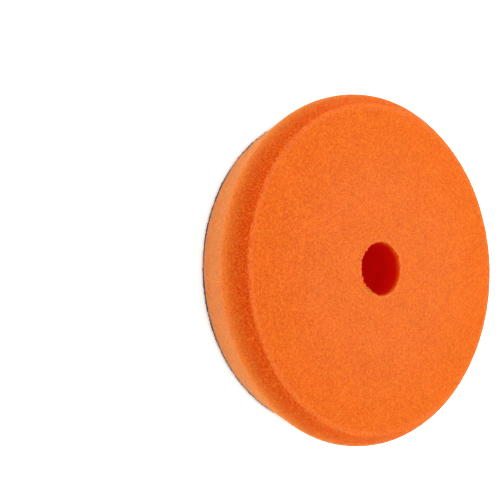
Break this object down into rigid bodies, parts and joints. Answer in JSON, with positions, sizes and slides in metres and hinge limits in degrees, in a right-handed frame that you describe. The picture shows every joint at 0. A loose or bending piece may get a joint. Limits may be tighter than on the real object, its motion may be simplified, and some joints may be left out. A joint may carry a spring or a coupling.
{
  "type": "foam polishing pad",
  "caption": "Round flared foam pad with a bevelled flat working face, a loop cloth back and a through hole at its centre.",
  "frame": {"origin": "centre of the loop cloth's underside, on the axis of the centre hole", "axes": "+Z along the hole from the loop cloth to the working face; the pad is round, so X and Y are any two directions across it"},
  "size_m": [0.14, 0.14, 0.031],
  "materials": {
    "orange_foam": "matte open-cell foam",
    "hot_melt_film": "translucent, dull",
    "black_loop_cloth": "brushed loop nap"
  },
  "bodies": {
    "root": {"foam_body": "orange_foam", "adhesive_film": "hot_melt_film", "loop_cloth": "black_loop_cloth"}
  },
  "joints": []
}
